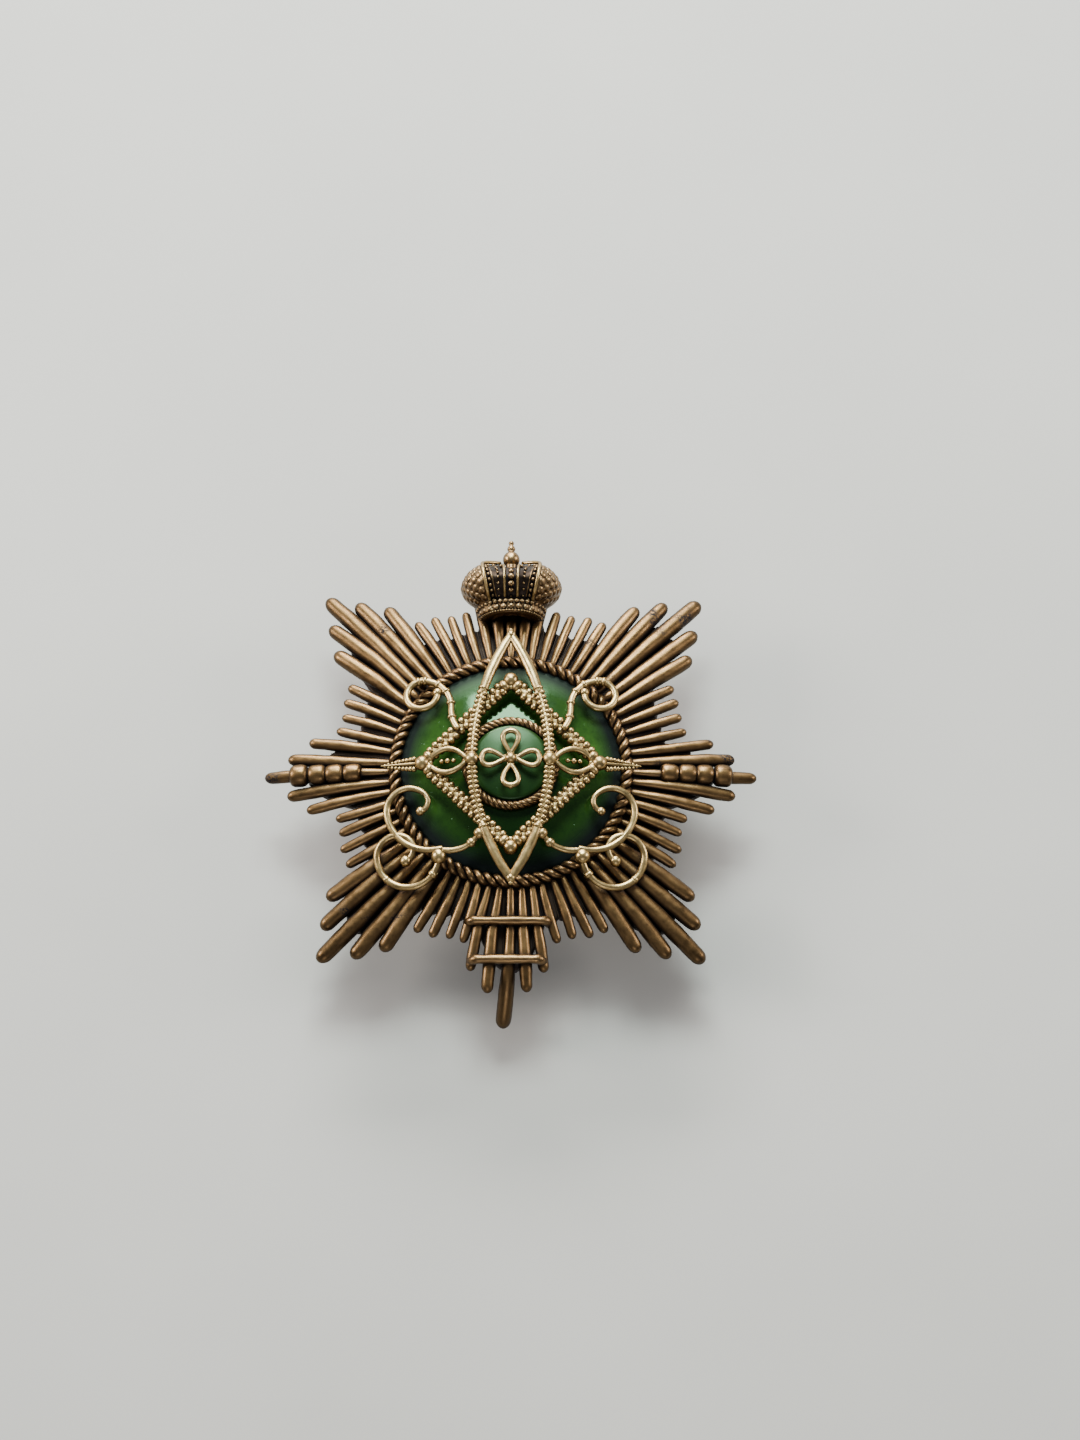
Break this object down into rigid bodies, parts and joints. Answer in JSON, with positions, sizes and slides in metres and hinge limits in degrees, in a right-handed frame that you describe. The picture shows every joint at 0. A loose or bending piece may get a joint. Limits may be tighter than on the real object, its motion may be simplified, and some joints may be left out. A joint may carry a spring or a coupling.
{
  "type": "cap badge",
  "caption": "Domed eight-pointed rayed star badge with green enamel centre, rope borders, openwork wire ornament and crown, held by a threaded post, clamp plate and knurled nut.",
  "frame": {"origin": "on the axis of the threaded post, level with the under face of the nut that the badge lies on", "axes": "+Z out of the badge's face, +Y to the crown, +X to the right-hand point seen from the front"},
  "size_m": [0.05, 0.05, 0.0134],
  "materials": {
    "star_metal": "antiqued, dark in the hollows, worn on the ridges",
    "ornament_metal": "satin, lightly antiqued",
    "rope_metal": "antiqued, near black between the strands",
    "crown_metal": "antiqued, dark in the hollows",
    "fastener_metal": "plain brushed brass",
    "green_enamel": "glossy translucent vitreous enamel"
  },
  "bodies": {
    "badge": {"boss_cup": "rope_metal", "boss_enamel": "green_enamel", "boss_rope_ring": "rope_metal", "corner_balls": "ornament_metal", "crown_bands": "crown_metal", "crown_orb": "crown_metal", "crown_pearls": "crown_metal", "crown_rim": "crown_metal", "crown_seat": "crown_metal", "crown_shell": "crown_metal", "diamond_bar_east_north": "ornament_metal", "diamond_bar_north_west": "ornament_metal", "diamond_bar_south_east": "ornament_metal", "diamond_bar_west_south": "ornament_metal", "east_bead_row": "star_metal", "east_foot_scroll": "ornament_metal", "east_lower_scroll": "ornament_metal", "east_spindle": "ornament_metal", "east_swag": "ornament_metal", "east_tendrils": "ornament_metal", "east_upper_scroll": "ornament_metal", "east_waist_ball": "ornament_metal", "enamel_dish": "rope_metal", "enamel_dome": "green_enamel", "locating_spikes": "fastener_metal", "lower_arch": "ornament_metal", "lower_crossbar": "star_metal", "ornament_pins": "ornament_metal", "quatrefoil": "ornament_metal", "rope_ring": "rope_metal", "star_base": "star_metal", "threaded_post": "fastener_metal", "upper_arch": "ornament_metal", "upper_crossbar": "star_metal", "west_bead_row": "star_metal", "west_foot_scroll": "ornament_metal", "west_lower_scroll": "ornament_metal", "west_spindle": "ornament_metal", "west_swag": "ornament_metal", "west_tendrils": "ornament_metal", "west_upper_scroll": "ornament_metal", "west_waist_ball": "ornament_metal"},
    "plate": {"clamp_plate": "fastener_metal"},
    "nut": {"clamp_nut": "fastener_metal"}
  },
  "joints": [
    {"name": "plate_slide", "type": "slide", "parent": "badge", "child": "plate", "axis": [0, 0, 1], "range_m": [-0.0041, 0.0031]},
    {"name": "nut_spin", "type": "hinge", "parent": "plate", "child": "nut", "pos_m": [0, 0, 0], "axis": [0, 0, 1], "range_deg": [-2880, 2160]}
  ],
  "couplings": [
    {"joint": "plate_slide", "follows": "nut_spin", "m_per_rad": 0.000079577}
  ]
}
